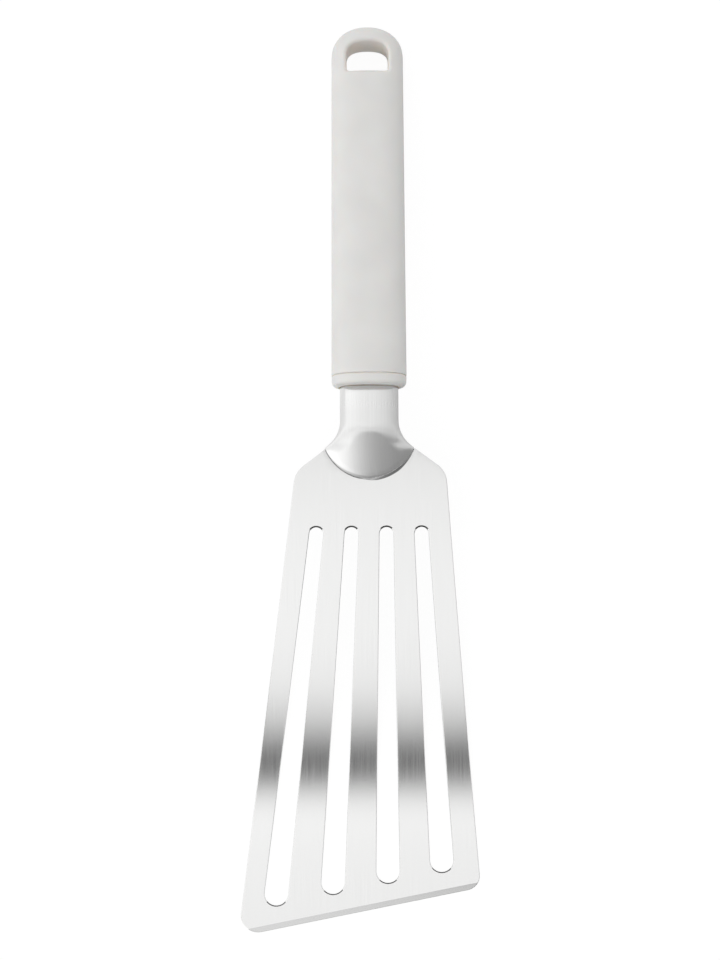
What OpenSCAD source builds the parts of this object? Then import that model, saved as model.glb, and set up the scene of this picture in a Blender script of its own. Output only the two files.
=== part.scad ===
// Slotted turner for fish and fried food: a thin bowed steel blade with four fanned slots,
// welded to a pressed steel neck whose tang is pinned inside a hollow plastic handle.
// The turner lies as it rests on a table. +Y runs from the blade to the handle's butt, +Z is up.

/* [Blade] */
// Thickness of the blade's sheet
blade_t = 1; // [0.6:0.1:1.6]
// Radius of the blade's lengthwise bow, at its underside
bow_r = 490; // [400:5:700]
// From the lowest line of the bow back to the bend where the neck starts
heel_run = 154.2; // [130:0.1:170]
// From the bend forward to the shoulders
shoulder_drop = 9.9; // [6:0.1:16]
// Angle of the sloping shoulders from the handle's line
shoulder_angle = 53; // [40:1:65]
// Left shoulder's distance from the handle's line
heel_left = 27; // [24:0.1:34]
// Right shoulder's distance from the handle's line
heel_right = 27.8; // [24:0.1:34]
// Left edge's distance from the handle's line, at the lowest line
low_left = 46; // [40:0.1:55]
// Right edge's distance from the handle's line, at the lowest line
low_right = 39.8; // [37:0.1:55]
// From the lowest line forward to the front edge, on the handle's line
front_run = 18.4; // [14:0.1:30]
// Slant of the front edge
front_slant = 11.1; // [0:0.1:18]
// Rounding of the two shoulders
shoulder_r = 8.5; // [2:0.1:10]
// Rounding of the front left corner
front_left_r = 6.5; // [2:0.1:10]
// Rounding of the front right corner
front_right_r = 5.5; // [2:0.1:10]
// Width of the bevel ground along the front edge
bevel_w = 2.2; // [1:0.1:4]
// Thickness left at the front edge
edge_t = 0.45; // [0.3:0.05:0.55]

/* [Slots] */
// Number of slots
slot_count = 4; // [3:1:4]
// Angle between neighbouring slots
fan_step = 3.39; // [3:0.01:3.6]
// Angle of the fan's middle from the handle's line
fan_turn = 1.66; // [1:0.01:2.2]
// Sideways place of the point that the slots fan out from
fan_x = 6; // [5:0.1:7]
// Height of that point above the lowest line
fan_y = 337.3; // [320:0.1:355]
// From the bend forward to the slots' narrow ends
slot_drop = 30.1; // [25:0.1:45]
// Width of a slot at its narrow end
slot_narrow = 5.1; // [3.5:0.1:5.5]
// Width of a slot at its wide end
slot_wide = 8.7; // [6:0.1:9.5]
// From a slot's wide end to the front edge
slot_margin = 8.4; // [6:0.1:14]

/* [Neck] */
// Thickness of the neck's sheet
neck_t = 1.5; // [1:0.1:2]
// Width of the neck
neck_w = 21.2; // [19:0.1:22]
// Height of the neck's arch
neck_h = 8; // [6.5:0.1:9]
// From the bend back to the handle's mouth
neck_l = 20.3; // [17:0.1:26]
// Radius of the flare from the neck into the shoulders
flare_r = 11.3; // [9:0.1:13]
// Radius of the dome that ends the neck, seen from above
dome_r = 17.8; // [16.5:0.1:19]
// Height of the dome over the blade's underside
dome_h = 7; // [5.5:0.1:8]
// From the handle's mouth forward to the dome's centre
dome_run = 14.6; // [13:0.1:17]
// Length over which the crown turns down into the dome
crown_blend = 3; // [1.5:0.1:5]
// Width of the flange that is welded under the blade
flange_w = 4; // [3:0.1:6]

/* [Tang] */
// Width of the tang inside the handle
tang_w = 16; // [12:0.1:17]
// Depth of the full-width neck in the handle's collar
neck_seat = 3; // [2.2:0.1:3.6]
// Length over which the neck narrows to the tang
tang_taper = 1.2; // [0.8:0.1:1.6]
// Length of the tang behind the handle's mouth
tang_l = 72; // [60:0.5:80]

/* [Handle] */
// Length of the handle with its collar
handle_l = 133.7; // [125:0.1:150]
// Width of the handle at its mouth
mouth_w = 27.1; // [26:0.1:30]
// Width of the handle at its butt
butt_w = 26.2; // [25:0.1:30]
// Thickness of the handle at its mouth
mouth_h = 18; // [17:0.1:21]
// Thickness of the handle at its butt
butt_h = 14.4; // [13:0.1:18]
// Length of the butt's rounded end
arch_l = 11.8; // [8:0.1:13]
// Wall of the hollow grip
wall = 2.5; // [2:0.1:2.8]
// Depth of the grip's hollow behind the mouth
hollow_l = 104; // [96:0.5:106]
// Width of the hang hole
hole_w = 15.2; // [12:0.1:17]
// Length of the hang hole
hole_l = 11.2; // [9:0.1:14]
// Height of the hang hole's arched end
hole_arch = 5; // [3:0.1:7]
// Rounding of the hang hole's two square corners
hole_r = 1.2; // [0.5:0.1:2.5]
// Length of the bar between the hang hole and the butt
hang_bar = 6.1; // [5:0.1:9]

/* [Collar] */
// Visible length of the collar
collar_l = 3.8; // [3:0.1:6]
// Rounding of the collar's front edge
collar_r = 1.7; // [0.8:0.1:2]
// Width of the groove between collar and grip
groove_w = 0.5; // [0.3:0.1:0.8]
// Depth of that groove
groove_d = 0.4; // [0.2:0.1:0.6]
// Length of the spigot that plugs into the grip
spigot_l = 7; // [5:0.1:10]

/* [Insert and pins] */
// Length of the insert that grips the tang
insert_l = 76; // [70:0.5:80]
// Radius of the tang pins
pin_r = 2; // [1.5:0.1:2.4]
// From the insert's front end to the front pin
pin_inset = 16; // [10:0.5:20]
// From the rear pin to the tang's end
pin_end = 14.3; // [10:0.1:18]
// Depth of a pin's end below the insert's skin
pin_recess = 0.6; // [0.4:0.1:1.2]
// Chamfer on a pin's ends
pin_chamfer = 0.4; // [0.2:0.1:0.6]

/* [Fits] */
// Clearance around pieces that plug into each other
fit = 0.12; // [0.08:0.02:0.2]
// Clearance between the neck and the blade's heel notch
notch_gap = 0.15; // [0.1:0.05:0.3]
// Clearance between the blade and the flange under it
weld_gap = 0.05; // [0.02:0.01:0.1]

/* [Hidden] */
steel = "silver";
plastic = "#dddcd9";
nylon = "#8f9194";
cut = 1;                // overrun of every cut
section_share = 2.5;    // exponent of the handle's section
arch_share = 2.4;       // exponent of the butt's arch seen from above
round_share = 4.5;      // exponent of the butt's arch seen from the side
tip_share = 0.999;      // how far the butt's rounded end is carried
pole_share = 0.9995;    // how far the dome's rim is carried
root_share = 0.75;      // how deep the dome's wall reaches into the flange
flange_share = 0.5;     // where the flange starts in the dome's wall
contact_share = 0.462;  // where the butt's rounded end touches the table
bow_steps = 720;
arc_steps = 12;
ring_steps = 48;
butt_steps = 12;
collar_steps = 5;
skin_steps = 24;
flare_steps = 8;
dome_steps = 18;
bevel_steps = 24;

// Heights of the bow's underside and top over the lowest line
function bow_low(y) = bow_r - sqrt(pow(bow_r, 2) - y * y);
function bow_top(y) = bow_r - sqrt(pow(bow_r - blade_t, 2) - y * y);

// The handle's tilt lets its butt touch the table on which the blade rests
contact_l = neck_l + handle_l - arch_l * contact_share;
contact_h = (butt_h - neck_h) / 2;
tilt = asin(bow_low(heel_run) / norm([contact_l, contact_h])) - atan2(contact_h, contact_l);
mouth_y = heel_run + neck_l * cos(tilt) + neck_h / 2 * sin(tilt);
mouth_z = bow_low(heel_run) - neck_l * sin(tilt) + neck_h / 2 * cos(tilt);

// Outlines
function unit(v) = v / norm(v);
function turned(v, a) = [v[0] * cos(a) - v[1] * sin(a), v[0] * sin(a) + v[1] * cos(a)];
function meet(p, q, a, b) = p + (q - p) * cross(a - p, b - a) / cross(q - p, b - a);
function corner(a, b, c, r) = let (
        u = unit(a - b),
        v = unit(c - b),
        half = acos(u * v) / 2,
        mid = b + unit(u + v) * r / sin(half),
        start = b + u * r / tan(half) - mid,
        sweep = (2 * half - 180) * sign(cross(u, v))
    )
    [for (k = [0:arc_steps]) mid + turned(start, sweep * k / arc_steps)];
function rounded(path, radii) = [
    for (i = [0:len(path) - 1])
        each radii[i] > 0
            ? corner(path[(i + len(path) - 1) % len(path)], path[i], path[(i + 1) % len(path)], radii[i])
            : [path[i]]
];

// The blade's outline seen from above, with its heel carried up into the notch for the neck
shoulder_y = heel_run - shoulder_drop;
function front_y(x) = x * tan(front_slant) - front_run;
function heel_y(x) = shoulder_y + (x - neck_w / 2) / tan(shoulder_angle);
left_edge = [[-heel_left, shoulder_y], [-low_left, 0]];
right_edge = [[heel_right, shoulder_y], [low_right, 0]];
front_edge = [[-low_left, front_y(-low_left)], [low_right, front_y(low_right)]];
front_left = meet(left_edge[0], left_edge[1], front_edge[0], front_edge[1]);
front_right = meet(right_edge[0], right_edge[1], front_edge[0], front_edge[1]);
blade_path = [
    [-neck_w / 2, heel_y(heel_left)], left_edge[0], front_left,
    front_right, right_edge[0], [neck_w / 2, heel_y(heel_right)]
];
blade_outline = rounded(blade_path, [0, shoulder_r, front_left_r, front_right_r, shoulder_r, 0]);

// Half widths of the neck's flare and of the dome's rim, in the handle's frame
flare_mean = (heel_left + heel_right) / 2;
flare_y = (heel_y(flare_mean) + flare_r * tan(shoulder_angle / 2) - mouth_y) / cos(tilt)
    + neck_h / 2 * tan(tilt);
function flare(y) = let (
        run = max(0, flare_y - y),
        turn = flare_r * sin(shoulder_angle)
    )
    neck_w / 2 + (run < turn
        ? flare_r - sqrt(pow(flare_r, 2) - run * run)
        : flare_r * (1 - cos(shoulder_angle)) + (run - turn) * tan(shoulder_angle));
dome_y = -dome_run;
function rim(y, inset) = let (run = max(0, dome_y - y)) sqrt(max(0, pow(dome_r - inset, 2) - run * run));
function tang(y) = y <= neck_seat - tang_taper
    ? neck_w
    : max(tang_w, neck_w - (neck_w - tang_w) * (y - neck_seat + tang_taper) / tang_taper) / 2;
function skin_w(y, inset) = min(tang(y), flare(y) - inset, rim(y, inset));

// Height of the neck's skin over the handle's line
bow_mid = [
    -mouth_y * cos(tilt) - (bow_r - mouth_z) * sin(tilt),
    -mouth_y * sin(tilt) + (bow_r - mouth_z) * cos(tilt)
];
function bow_here(y) = bow_mid[1] - sqrt(pow(bow_r + neck_t * root_share, 2) - pow(y - bow_mid[0], 2));
function bend(a, b) = let (h = max(0, crown_blend - abs(a - b)) / crown_blend) min(a, b) - h * h * crown_blend / 4;
function arch(x, w, h) = h * sqrt(max(0, 1 - x * x / (w * w))) - neck_h / 2;
function dome(x, y, inset) = bow_here(y) + (dome_h + neck_t * root_share - inset)
    * sqrt(max(0, 1 - (x * x + pow(min(0, y - dome_y), 2)) / pow(dome_r - inset, 2)));
function skin_z(x, y, inset) = bend(arch(x, flare(y) - inset, neck_h - inset), dome(x, y, inset));
function skin(y, inset) = [
    for (k = [0:skin_steps])
        let (x = skin_w(y, inset) * sin(90 - 180 * k / skin_steps))
        [x, y, skin_z(x, y, inset)]
];
dome_rows = [for (k = [0:dome_steps]) let (a = asin(pole_share) * k / dome_steps) dome_y - dome_r * sin(a)];
neck_rows = concat(
    [tang_l, neck_seat, neck_seat - tang_taper],
    [for (k = [0:flare_steps]) flare_y + (dome_y - flare_y) * k / (flare_steps + 1)],
    dome_rows
);
function inner_y(y) = y < dome_y ? dome_y + (y - dome_y) * (dome_r - neck_t) / dome_r : y;
function reversed(list) = [for (k = [len(list) - 1:-1:0]) list[k]];
neck_loops = [for (y = neck_rows) concat(skin(y, 0), reversed(skin(inner_y(y), neck_t)))];

// Section of the handle at a distance behind its mouth, drawn in by an inset
function power(v, e) = sign(v) * pow(abs(v), e);
function along(a, b, y) = a + (b - a) * y / handle_l;
function half_w(y) = along(mouth_w, butt_w, y) / 2;
function half_h(y) = along(mouth_h, butt_h, y) / 2;
function section(y, w, h) = [
    for (k = [0:ring_steps - 1])
        let (a = -360 * k / ring_steps)
        [w * power(cos(a), 2 / section_share), y, h * power(sin(a), 2 / section_share)]
];
function ring(y, inset) = section(y, half_w(y) - inset, half_h(y) - inset);

// Sections of the butt's rounded end
function past(y) = max(0, y - handle_l + arch_l) / arch_l;
function fade(s, e) = pow(1 - pow(s, e), 1 / e);
function butt_ring(y) = section(
    y,
    half_w(y) * fade(past(y), arch_share),
    half_h(y) * fade(past(y), round_share)
);
butt_rows = [
    for (k = [0:butt_steps])
        handle_l - arch_l * (1 - pow(sin(90 * k / butt_steps), 2 / arch_share) * tip_share)
];
grip_loops = concat([ring(collar_l, 0)], [for (y = butt_rows) butt_ring(y)]);
insert_y = collar_l + spigot_l + fit;

// Origin: the middle of the turner's box, on the table
butt_y = max([for (loop = grip_loops) for (p = loop) mouth_y + p[1] * cos(tilt) + p[2] * sin(tilt)]);
butt_z = min([for (loop = grip_loops) for (p = loop) mouth_z - p[1] * sin(tilt) + p[2] * cos(tilt)]);
low = [min([for (p = blade_outline) p[0]]), min([for (p = blade_outline) p[1]]), min(0, butt_z)];
high = [max([for (p = blade_outline) p[0]]), butt_y];

module placed() {
    translate([-(low[0] + high[0]) / 2, -(low[1] + high[1]) / 2, -low[2]]) children();
}
module on_handle() {
    placed() translate([0, mouth_y, mouth_z]) rotate([-tilt, 0, 0]) children();
}

// A solid through loops of points, each end closed by strips between the two halves of its loop
module loft(loops) {
    n = len(loops[0]);
    last = len(loops) - 1;
    sides = [
        for (i = [0:last - 1], k = [0:n - 1])
            let (a = i * n + k, b = i * n + (k + 1) % n)
            each [[a, b + n, b], [a, a + n, b + n]]
    ];
    cap = [for (k = [0:n / 2 - 2]) each [[k, k + 1, n - 2 - k], [k, n - 2 - k, n - 1 - k]]];
    far_cap = [for (face = cap) [for (k = reversed(face)) last * n + k]];
    polyhedron([for (loop = loops) each loop], concat(sides, cap, far_cap));
}

// The space between two radii about the bow's axis
module bowed(inner, outer) {
    span = low_left + low_right + heel_left;
    translate([-span, 0, bow_r]) rotate([0, 90, 0]) difference() {
        cylinder(r = outer, h = 2 * span, $fn = bow_steps);
        translate([0, 0, -cut]) cylinder(r = inner, h = 2 * span + 2 * cut, $fn = bow_steps);
    }
}
module plan(height) {
    translate([0, 0, -height]) linear_extrude(2 * height) children();
}

// One slot, from its narrow end near the neck to its wide end near the front edge
module slot(angle) {
    r0 = slot_narrow / 2;
    r1 = slot_wide / 2;
    dir = [sin(angle), -cos(angle)];
    across = [cos(angle), sin(angle)];
    from = (fan_y - heel_run + slot_drop + r0) / cos(angle);
    to = (fan_y + front_run - fan_x * tan(front_slant) - (slot_margin + r1) / cos(front_slant))
        / (cos(angle) + sin(angle) * tan(front_slant));
    a = [fan_x, fan_y] + dir * from;
    b = [fan_x, fan_y] + dir * to;
    polygon(concat(
        [for (k = [0:arc_steps]) a + r0 * turned(across, 180 * k / arc_steps)],
        [for (k = [0:arc_steps]) b - r1 * turned(across, 180 * k / arc_steps)]
    ));
}

// What the grinder takes off the top of the front edge
module bevel() {
    reach = 2 * (low_left + low_right);
    dir = [cos(front_slant), sin(front_slant)];
    across = [-sin(front_slant), cos(front_slant)];
    slope = (blade_t - edge_t) / bevel_w;
    loft([
        for (k = [0:bevel_steps])
            let (
                p = [0, -front_run] + dir * reach * (k / bevel_steps - 1 / 2),
                out = p - across * cut,
                back = p + across * (bevel_w + cut)
            )
            [
                [out[0], out[1], bow_top(p[1]) - (bevel_w + cut) * slope],
                [back[0], back[1], bow_top(back[1]) + cut * slope],
                [back[0], back[1], bow_top(back[1]) + 2 * cut],
                [out[0], out[1], bow_top(p[1]) + 2 * cut]
            ]
    ]);
}

module blade() {
    color(steel) difference() {
        placed() intersection() {
            bowed(bow_r - blade_t, bow_r);
            plan(bow_r / 4) polygon(blade_outline);
        }
        for (k = [0:slot_count - 1])
            placed() plan(bow_r / 3) slot(fan_step * (k - (slot_count - 1) / 2) - fan_turn);
        on_handle() translate([0, dome_y, -neck_w])
            cylinder(r = dome_r + notch_gap, h = 2 * neck_w, $fn = ring_steps);
        placed() bevel();
    }
}

module pin_holes(r) {
    for (y = [insert_y + pin_inset, tang_l - pin_end])
        translate([0, y, -mouth_h]) cylinder(r = r, h = 2 * mouth_h, $fn = ring_steps);
}

module flange() {
    intersection() {
        placed() bowed(bow_r + weld_gap, bow_r + weld_gap + neck_t);
        placed() plan(bow_r / 4) polygon(blade_outline);
        on_handle() difference() {
            translate([0, dome_y, -neck_w])
                cylinder(r = dome_r + flange_w, h = 2 * neck_w, $fn = ring_steps);
            translate([0, dome_y, -neck_w - cut])
                cylinder(r = dome_r - neck_t * flange_share, h = 2 * (neck_w + cut), $fn = ring_steps);
            translate([-2 * dome_r, -neck_l - neck_t, -2 * neck_w])
                cube([4 * dome_r, 2 * neck_l, 4 * neck_w]);
        }
    }
}

module neck() {
    color(steel) {
        on_handle() difference() {
            loft(neck_loops);
            pin_holes(pin_r + fit);
        }
        flange();
    }
}

// The neck's curved sheet as a slot of some width, and the space under that sheet
function arch_line(half, inset) = [
    for (k = [0:skin_steps])
        let (
            w = neck_w / 2 - inset,
            a = asin(min(1, half / w)),
            x = w * sin(a - 2 * a * k / skin_steps)
        )
        [x, arch(x, w, neck_h - inset)]
];
module along_handle(from, to) {
    translate([0, to, 0]) rotate([90, 0, 0]) linear_extrude(to - from) children();
}
module sheet_slot(half) {
    polygon(concat(arch_line(half, -fit), reversed(arch_line(half, neck_t + fit))));
}
module under_sheet(half, inset) {
    floor_z = -neck_h;
    polygon(concat(arch_line(half, inset), [[-half, floor_z], [half, floor_z]]));
}

module collar() {
    nose = [
        for (k = [0:collar_steps])
            let (a = 90 * k / collar_steps)
            ring(collar_r * (1 - cos(a)), collar_r * (1 - sin(a)))
    ];
    body = [
        ring(collar_l - groove_w, 0), ring(collar_l - groove_w, groove_d), ring(collar_l, groove_d),
        ring(collar_l, wall + fit), ring(collar_l + spigot_l, wall + fit)
    ];
    color(plastic) on_handle() difference() {
        loft(concat(nose, body));
        along_handle(-cut, neck_seat + fit) sheet_slot(neck_w / 2 + fit);
        along_handle(0, collar_l + spigot_l + cut) sheet_slot(tang_w / 2 + fit);
    }
}

// The hang hole's outline: square towards the mouth, arched towards the butt
module hang_hole() {
    half = hole_w / 2;
    end = handle_l - hang_bar;
    start = end - hole_l;
    side = end - hole_arch;
    polygon(concat(
        corner([-half, side], [-half, start], [half, start], hole_r),
        corner([-half, start], [half, start], [half, side], hole_r),
        [
            for (k = [0:2 * arc_steps])
                let (a = 90 * k / arc_steps)
                [half * power(cos(a), 2 / arch_share), side + hole_arch * power(sin(a), 2 / arch_share)]
        ]
    ));
}

module grip() {
    color(plastic) on_handle() difference() {
        loft(grip_loops);
        loft([ring(collar_l - cut, wall), ring(hollow_l, wall)]);
        plan(mouth_h) hang_hole();
    }
}

// The insert's two halves meet beside the tang and clamp it between them
split_z = (arch(tang_w / 2, neck_w / 2, neck_h) + arch(tang_w / 2, neck_w / 2 - neck_t, neck_h - neck_t)) / 2;
insert_end = insert_y + insert_l;
module insert_body() {
    loft([ring(insert_y, wall + fit), ring(insert_end, wall + fit)]);
}
module insert_side(from, to) {
    translate([-mouth_w, insert_y - cut, from]) cube([2 * mouth_w, insert_l + 2 * cut, to - from]);
}

module insert_upper() {
    color(nylon) on_handle() difference() {
        intersection() {
            insert_body();
            insert_side(split_z, mouth_h);
        }
        along_handle(insert_y - cut, insert_end + cut) under_sheet(tang_w / 2 + fit, -fit);
        pin_holes(pin_r + fit / 2);
    }
}

module insert_lower() {
    color(nylon) on_handle() difference() {
        intersection() {
            insert_body();
            union() {
                insert_side(-mouth_h, split_z);
                along_handle(insert_y - cut, insert_end + cut) under_sheet(tang_w / 2, neck_t + fit);
            }
        }
        along_handle(insert_y - cut, tang_l + fit) sheet_slot(tang_w / 2 + fit);
        pin_holes(pin_r + fit / 2);
    }
}

module pin(y) {
    reach = half_h(y) - wall - fit - pin_recess;
    color(steel) on_handle() translate([0, y, 0]) rotate_extrude($fn = ring_steps) polygon([
        [0, -reach], [pin_r - pin_chamfer, -reach], [pin_r, pin_chamfer - reach],
        [pin_r, reach - pin_chamfer], [pin_r - pin_chamfer, reach], [0, reach]
    ]);
}

module pin_front() {
    pin(insert_y + pin_inset);
}

module pin_rear() {
    pin(tang_l - pin_end);
}

blade();
neck();
collar();
grip();
insert_upper();
insert_lower();
pin_front();
pin_rear();
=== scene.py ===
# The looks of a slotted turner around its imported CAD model: a brushed steel blade and neck, and an
# off-white plastic handle. Lengths are in millimetres, apart from those named as metres. Shapes are
# worked out in the axis frame of the CAD source, where x = 0 is the handle's line, y = 0 the blade's
# lowest line and z = 0 the table, or in the handle's frame, where y runs from its mouth to its butt.

import math

import bpy
import numpy as np
from mathutils.geometry import delaunay_2d_cdt
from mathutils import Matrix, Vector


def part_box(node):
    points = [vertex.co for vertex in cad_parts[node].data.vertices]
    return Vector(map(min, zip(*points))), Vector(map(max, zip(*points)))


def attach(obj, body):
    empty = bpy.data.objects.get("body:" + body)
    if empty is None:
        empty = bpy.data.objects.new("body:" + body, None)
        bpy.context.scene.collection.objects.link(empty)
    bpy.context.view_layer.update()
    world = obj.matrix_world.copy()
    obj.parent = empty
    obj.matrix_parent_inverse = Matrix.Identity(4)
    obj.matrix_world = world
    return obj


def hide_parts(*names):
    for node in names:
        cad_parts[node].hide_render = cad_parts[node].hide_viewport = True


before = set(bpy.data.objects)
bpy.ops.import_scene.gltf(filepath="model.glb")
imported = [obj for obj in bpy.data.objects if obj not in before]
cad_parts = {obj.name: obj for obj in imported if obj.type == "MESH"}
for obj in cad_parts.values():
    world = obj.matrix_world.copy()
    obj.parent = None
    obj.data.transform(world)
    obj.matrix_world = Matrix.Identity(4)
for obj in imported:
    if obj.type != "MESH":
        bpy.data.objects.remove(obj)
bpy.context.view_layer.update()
MM = 0.001

# Blade, as in the CAD source
BLADE_T = 1.0
BOW_R = 490.0
HEEL_RUN = 154.2
SHOULDER_Y = HEEL_RUN - 9.9
SHOULDER_ANGLE = math.radians(53)
HEEL_LEFT, HEEL_RIGHT = 27.0, 27.8
LOW_LEFT, LOW_RIGHT = 46.0, 39.8
FRONT_RUN = 18.4
FRONT_SLANT = math.radians(11.1)
SHOULDER_R, FRONT_LEFT_R, FRONT_RIGHT_R = 8.5, 6.5, 5.5
BEVEL_W = 2.2
EDGE_T = 0.45

# Rounding of its edges, and the sheared ends of its slots: their width and how squarely they face
EDGE_R = 0.3
SHEARED_W = 0.6
SHEARED_FROM = 0.6

# Slots, as in the CAD source
SLOT_COUNT = 4
FAN_STEP = math.radians(3.39)
FAN_TURN = math.radians(1.66)
FAN = np.array([6.0, 337.3])
SLOT_DROP = 30.1
SLOT_NARROW_R, SLOT_WIDE_R = 2.55, 4.35
SLOT_MARGIN = 8.4

# Neck, tang and flange, as in the CAD source
NECK_T = 1.5
NECK_W, NECK_H, NECK_L = 21.2, 8.0, 20.3
FLARE_R = 11.3
DOME_R, DOME_Y = 17.8, -14.6
FLANGE_W = 4.0
WELD_GAP = 0.05
TANG_W, TANG_L = 16.0, 72.0
NECK_SEAT, TANG_TAPER = 3.0, 1.2

# Its section: exponents of the arch behind the flare and in it, height of the flare's skirt, the
# turn between them, and how much wider the flare is where all of this is whole
NECK_POWER, CORE_POWER = 2.6, 1.8
SKIRT_H, SKIRT_BLEND, LEAST_BLEND = 4.5, 2.4, 0.01
FLARE_FULL = 4.0
# Rounding of the skin's rim, and the dip in front of the collar
RIM_R = 0.4
DIP, DIP_L = 0.3, 2.5

# Dome: height and place of its top, the radii of its curve, and its rounded wall
CAP_H, CAP_Y = 4.92, -8.0
CAP_ACROSS_R, CAP_ALONG_R = 38.0, 79.0
WALL_W, WALL_FOOT, FOOT_POWER = 2.2, 1.6, 40
DOME_TIP = 0.9998
# Length of the turn from the crown into the dome, in the middle and past a distance to the side
CROWN_BLEND = 1.0
CROWN_SIDE, CROWN_SIDE_X = 3.0, 13.0
# Half of the angle round which the dome lies on the blade
RIM_HALF = math.radians(65.5)

# The blade's notch round the dome, closer here than in the CAD source
NOTCH_GAP, NOTCH_R = 0.03, 0.05

# Fillet at the dome's foot: its reach into the dome and out of it, how it rises and how it sits
BRIM_IN, BRIM_OUT, BRIM_POWER, BRIM_DROP = 0.5, 0.5, 1.15, 0.06
BRIM_SEAT, BRIM_LIFT = 0.01, 0.02
# Least share of it, the angles where it starts to grow and is whole, and the angle of its fade
BRIM_LEAST = 0.06
BRIM_FROM, BRIM_FULL, BRIM_FADE = math.radians(-18), math.radians(14), math.radians(28)

# Weld flange: its rounded edge, its root in the dome's wall, its end beside the shoulders, its spots
FLANGE_EDGE, FLANGE_ROOT_R = 0.3, 0.9
FLANGE_SEAT = 0.02
SHOULDER_REACH = 3.6
SPOT_TURNS = np.radians([-44, -22, 0, 22, 44])
SPOT_AT, SPOT_R, SPOT_DEPTH = 19.9, 1.5, 0.2

# Handle, as in the CAD source
HANDLE_L = 133.7
MOUTH_W, MOUTH_H = 27.1, 18.0
BUTT_W, BUTT_H = 26.2, 14.4
BUTT_L = 11.8
SECTION_POWER, ARCH_POWER, ROUND_POWER = 2.5, 2.4, 4.5
WALL = 2.5
HOLLOW_L = 104.0
HOLE_W, HOLE_L, HOLE_ARCH = 15.2, 11.2, 5.0
HOLE_END = HANDLE_L - 6.1
HOLE_CORNER_R = 1.2
CONTACT_SHARE = 0.462
CONTACT_L = NECK_L + HANDLE_L - CONTACT_SHARE * BUTT_L
CONTACT_H = (BUTT_H - NECK_H) / 2
# Rounding of the hang hole's edges and of the hollow's end, and the flat at the butt's tip
HOLE_EDGE_R, HOLLOW_R = 1.6, 1.0
TIP_SHARE, TIP_R, TIP_GAP = 0.9985, 0.3, 0.1

# Collar, as in the CAD source
COLLAR_L = 3.8
GROOVE_W, GROOVE_D = 0.5, 0.4
SPIGOT_L = 7.0
FIT = 0.12
# Rounding of its front edge at the sides and on top, its draft, and where its core starts
COLLAR_R, COLLAR_TOP_R, NOSE_POWER = 1.7, 1.1, 4
COLLAR_DRAFT = 0.17
CORE_FROM = 1.0
# Rounding of the groove and of the spigot's end, and the gap round the neck that shows at the mouth
GROOVE_R, SPIGOT_R = 0.2, 0.4
MOUTH_GAP, MOUTH_GAP_L, MOUTH_EDGE_R = 0.35, 1.6, 0.1

# Fineness: steps along outlines and over the sheet, and the clear bands beside its edges and crease
ARC_STEP, OUTLINE_STEP = 0.35, 2.0
SHEET_STEP, SHEET_GAP = 2.5, 1.1
CREASE_GAP, CREASE_INSET = 0.9, 1.5
NOTCH_NEAR = 0.4
MITRE_LEAST = 0.5
SAME_POINT = 1e-5
# Lines round the sheet's edge and round the skin's rim, and how many there are along the skin
EDGE_RISE = np.radians([90, 60, 30, 0, 0, -30, -60, -90])
SKIN_STEPS, DOME_STEPS, NECK_STEPS = 65, 40, 46
FLANGE_STEPS, BRIM_STEPS = 121, 241
RIM_TURNS = np.array([0.08, 0.25, 0.5, 0.75, 0.92]) * math.pi

# Grids on which the handle's surfaces are found: first place across, first place up and step
GRIP_GRID = (-15.05, -10.15, 0.7)
COLLAR_GRID = (-14.29, -9.68, 0.44)
# Rounds in which each point of such a surface settles on it, and the least slope of its field
SETTLING, LEAST_SLOPE = 4, 1e-6

# Camera
LENS, FILM = 85.0, 36.0
CAMERA_AT = (0.705, 0.785, 843.0)
CAMERA_ROLL = math.radians(-0.30)
CLIP_NEAR, CLIP_FAR = 0.05, 10.0

# Studio: brightness by the angle from straight up towards the handle's butt, in degrees
SKY = [
    (-90, 0.62), (-66, 0.64), (-60, 0.7), (-55, 0.82), (-50.5, 0.8), (-47, 0.4), (-38.8, 0.36),
    (-36.2, 1.06), (-30, 1.14), (-24, 1.15), (-20.4, 1.08), (-18.4, 0.8), (-16.9, 0.34),
    (-16.3, 0.06), (-15.2, 0.06), (-14.75, 0.24), (-13.9, 1.0), (-13.0, 1.28), (-10.5, 1.14),
    (-5, 1.09), (20, 1.09), (60, 1.0), (90, 0.88),
]
# Brightness low in front of the blade, from the left at -1 to the right at 1
FRONT = [
    (-1.0, 1.6), (-0.48, 2.8), (-0.33, 2.45), (-0.18, 1.02), (-0.02, 0.64), (0.2, 0.48),
    (0.4, 0.34), (0.6, 0.36), (0.8, 0.54), (1.0, 0.84),
]
FRONT_FROM, FRONT_TO = math.radians(-35.5), math.radians(-39)
SKY_TOP = 2.8
SKY_SIDE = 0.25

# Table top: its reach and the half width of its change of tone in metres, its tones with painted
# shade on the right and painted light on the left, the share of the object's shadow that the camera
# sees, and the light that falls there
FLOOR_REACH, FLOOR_TURN = 3.0, 0.02
FLOOR_PAINTED_SHADE_RIGHT, FLOOR_PAINTED_LIGHT_LEFT = 0.74, 0.82
SHADOW_SHARE, FLOOR_LIGHT = 0.10, 0.75

# Finishes: noise scales across and along the brushing, and round and along the pins
FINE_BRUSH, BROAD_BRUSH = (6.0, 0.045, 1), (1.3, 0.02, 1)
BROAD_SHARE, BLOTCH_SHARE = 0.2, 0.5
PIN_RINGS = (300, 300, 9000)
BRUSH_DEPTH, RING_DEPTH = 0.003, 0.01
STEEL_GLOSS, PIN_GLOSS, PLASTIC_GLOSS = 0.15, 0.2, 0.04
POLISH_FROM, POLISH_TO = -10.0, -2.0
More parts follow.
